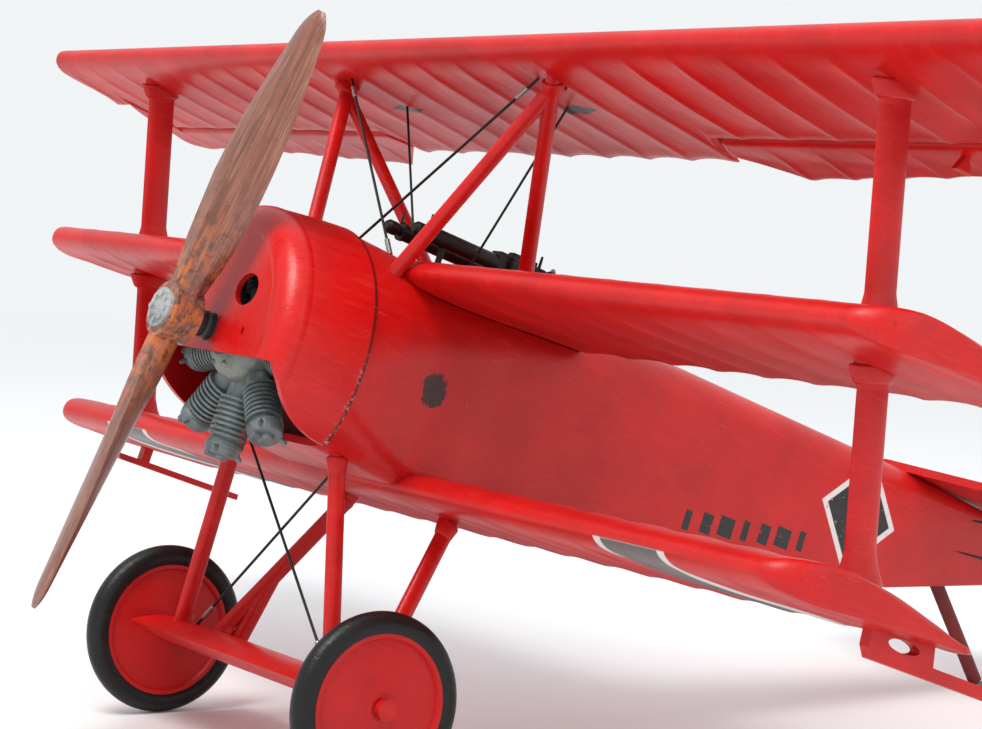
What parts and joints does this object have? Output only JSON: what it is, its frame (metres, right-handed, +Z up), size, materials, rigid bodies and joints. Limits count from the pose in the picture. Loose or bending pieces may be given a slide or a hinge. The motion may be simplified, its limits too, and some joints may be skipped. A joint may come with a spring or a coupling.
{
  "type": "scale model triplane",
  "caption": "Static scale model of a three-winged rotary-engined aeroplane, standing on two wheels and a tail skid, with turning engine, wheels and control surfaces.",
  "frame": {"origin": "on the ground under the middle of the overall box, which the wheels and the tail skid stand on", "axes": "+X to the port wing tip, +Y towards the tail, +Z up; the thrust line is tilted nose up by the ground angle"},
  "size_m": [0.258, 0.2144, 0.111],
  "materials": {
    "red_paint": "satin brushed enamel over moulded plastic",
    "cabin_lining": "matt dark red-brown",
    "panel_black": "matt black",
    "seat_brown": "matt brown",
    "coaming_leather": "satin painted as padded leather",
    "column_metal": "satin dark grey",
    "engine_metal": "gunmetal paint with a dark wash",
    "case_metal": "greenish grey metal paint",
    "pushrod_metal": "worn metal paint",
    "bright_steel": "drawn wire",
    "black_rubber": "satin black",
    "tyre_black": "satin soft vinyl",
    "wood_paint": "painted wood grain, satin",
    "plate_silver": "silver-white paint",
    "gun_black": "dark metal paint with bare edges",
    "wire_black": "blackened wire",
    "skid_paint": "dark red stain",
    "shoe_metal": "dark metal paint"
  },
  "bodies": {
    "rotary_engine": {"engine_crankcase": "case_metal", "engine_cylinders": "engine_metal", "engine_pushrods": "pushrod_metal", "engine_shaft": "bright_steel", "propeller": "wood_paint", "propeller_hub_bolts": "plate_silver", "propeller_hub_plate": "plate_silver", "shaft_bush": "black_rubber"},
    "wheel_left": {"tyre_left": "tyre_black", "wheel_disc_left": "red_paint"},
    "wheel_right": {"tyre_right": "tyre_black", "wheel_disc_right": "red_paint"},
    "aileron_left": {"aileron_left": "red_paint"},
    "aileron_right": {"aileron_right": "red_paint"},
    "elevator": {"elevator": "red_paint"},
    "rudder": {"rudder": "red_paint"},
    "airframe": {"aileron_cables": "wire_black", "aileron_hinge_pins": "bright_steel", "axle": "bright_steel", "axle_caps": "red_paint", "axle_wing": "red_paint", "cabane_cross_wires": "wire_black", "cabane_strut_front_left": "red_paint", "cabane_strut_front_right": "red_paint", "cabane_strut_rear_left": "red_paint", "cabane_strut_rear_right": "red_paint", "cockpit_coaming": "coaming_leather", "cockpit_floor": "cabin_lining", "control_column": "column_metal", "cowling": "red_paint", "elevator_hinge_rod": "bright_steel", "firewall": "cabin_lining", "fuselage_left_half": "red_paint", "fuselage_right_half": "red_paint", "gear_cross_wires": "wire_black", "gear_front_strut_left": "red_paint", "gear_front_strut_right": "red_paint", "gear_rear_strut_left": "red_paint", "gear_rear_strut_right": "red_paint", "gun_left": "gun_black", "gun_mounts": "gun_black", "gun_right": "gun_black", "instrument_panel": "panel_black", "interplane_strut_lower_left": "red_paint", "interplane_strut_lower_right": "red_paint", "interplane_strut_upper_left": "red_paint", "interplane_strut_upper_right": "red_paint", "lower_wing": "red_paint", "middle_wing": "red_paint", "pilot_seat": "seat_brown", "rear_bulkhead": "cabin_lining", "rudder_brackets": "red_paint", "rudder_post": "bright_steel", "tail_control_cables": "wire_black", "tail_skid": "skid_paint", "tail_skid_shoe": "shoe_metal", "tailplane": "red_paint", "upper_wing": "red_paint", "wing_skid_left": "red_paint", "wing_skid_right": "red_paint"}
  },
  "joints": [
    {"name": "engine_spin", "type": "hinge", "parent": "airframe", "child": "rotary_engine", "pos_m": [0, -0.09507, 0.06707], "axis": [0, 0.9511, -0.309], "continuous": true},
    {"name": "wheel_spin_left", "type": "hinge", "parent": "airframe", "child": "wheel_left", "pos_m": [0.03196, -0.07483, 0.0135], "axis": [1, 0, 0], "continuous": true},
    {"name": "wheel_spin_right", "type": "hinge", "parent": "airframe", "child": "wheel_right", "pos_m": [-0.03196, -0.07483, 0.0135], "axis": [1, 0, 0], "continuous": true},
    {"name": "aileron_hinge_left", "type": "hinge", "parent": "airframe", "child": "aileron_left", "pos_m": [0.0815, -0.02821, 0.09593], "axis": [1, 0, 0], "range_deg": [-20, 20]},
    {"name": "aileron_hinge_right", "type": "hinge", "parent": "airframe", "child": "aileron_right", "pos_m": [-0.0815, -0.02821, 0.09593], "axis": [1, 0, 0], "range_deg": [-20, 20]},
    {"name": "elevator_hinge", "type": "hinge", "parent": "airframe", "child": "elevator", "pos_m": [0, 0.0766, 0.03411], "axis": [1, 0, 0], "range_deg": [-25, 25]},
    {"name": "rudder_hinge", "type": "hinge", "parent": "airframe", "child": "rudder", "pos_m": [0, 0.08174, 0.02098], "axis": [0, 0.309, 0.9511], "range_deg": [-25, 25]}
  ],
  "couplings": [
    {"joint": "aileron_hinge_right", "follows": "aileron_hinge_left", "ratio": -1}
  ]
}
